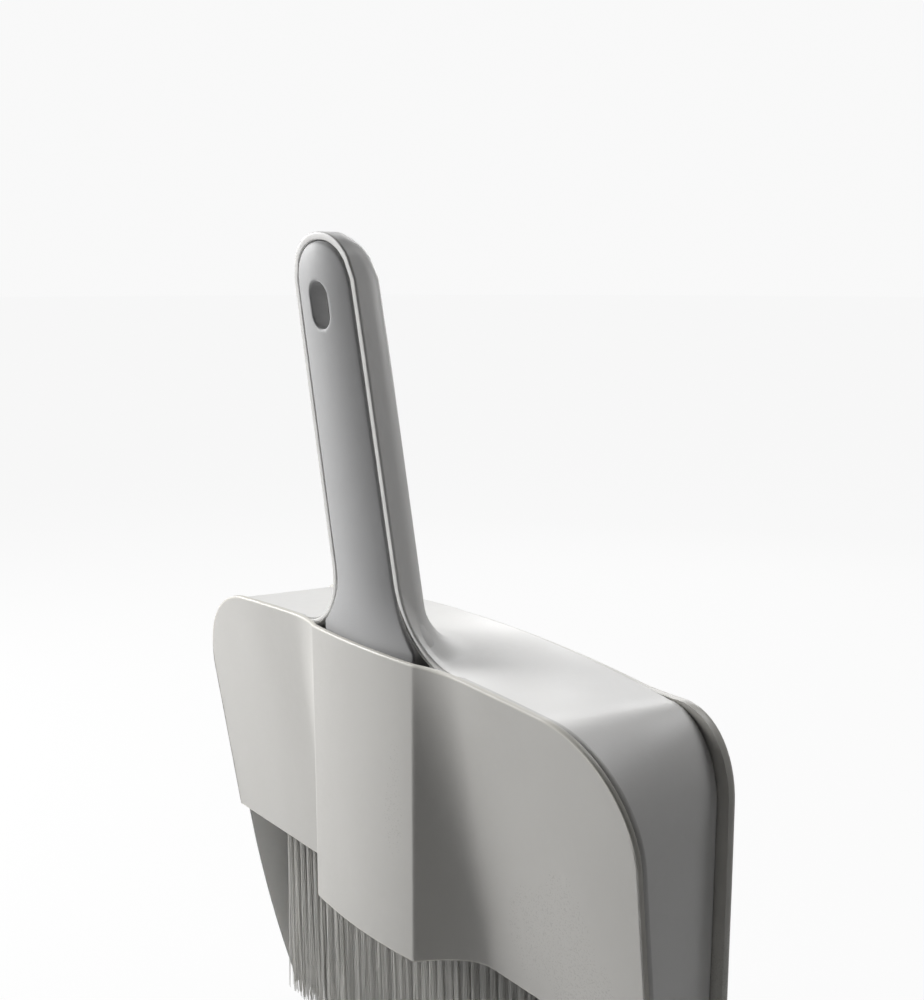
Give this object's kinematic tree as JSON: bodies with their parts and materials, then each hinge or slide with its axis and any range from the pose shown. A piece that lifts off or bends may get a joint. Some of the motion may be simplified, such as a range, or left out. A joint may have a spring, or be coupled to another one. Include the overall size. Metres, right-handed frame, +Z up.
{
  "type": "dustpan and brush set",
  "caption": "Dustpan and hand brush nested as one unit: the brush's grip fills the pan's channel handle, its hood closes the pan's front, and a slot hangs both.",
  "frame": {"origin": "middle of the hanging slot, halfway through the back wall of the pan's handle", "axes": "+Z up along the pan's floor as it hangs, +Y towards the wall behind the floor, -Y the way the brush comes out, +X to the right seen from the front"},
  "size_m": [0.242, 0.0743, 0.3332],
  "materials": {
    "pan_grey": "fine matt polypropylene",
    "warm_grey": "satin polypropylene, warmer grey",
    "soft_grey": "soft-touch elastomer",
    "lip_grey": "flexible matt lip",
    "bristle_white": "fine synthetic filaments",
    "screw_steel": "zinc-plated"
  },
  "bodies": {
    "dustpan": {"pan_shell": "pan_grey", "pan_floor": "warm_grey", "pan_lip": "lip_grey"},
    "brush": {"handle_grip": "soft_grey", "handle_core": "pan_grey", "brush_hood": "warm_grey", "bristle_block": "pan_grey", "bristle_row_1": "bristle_white", "bristle_row_2": "bristle_white", "bristle_row_3": "bristle_white", "bristle_row_4": "bristle_white", "bristle_row_5": "bristle_white", "hood_screw_1": "screw_steel", "hood_screw_2": "screw_steel", "hood_screw_3": "screw_steel", "hood_screw_4": "screw_steel", "handle_screw_1": "screw_steel", "handle_screw_2": "screw_steel"}
  },
  "joints": [
    {"name": "brush_out", "type": "slide", "parent": "dustpan", "child": "brush", "axis": [0, -1, 0], "range_m": [0, 0.12]}
  ]
}
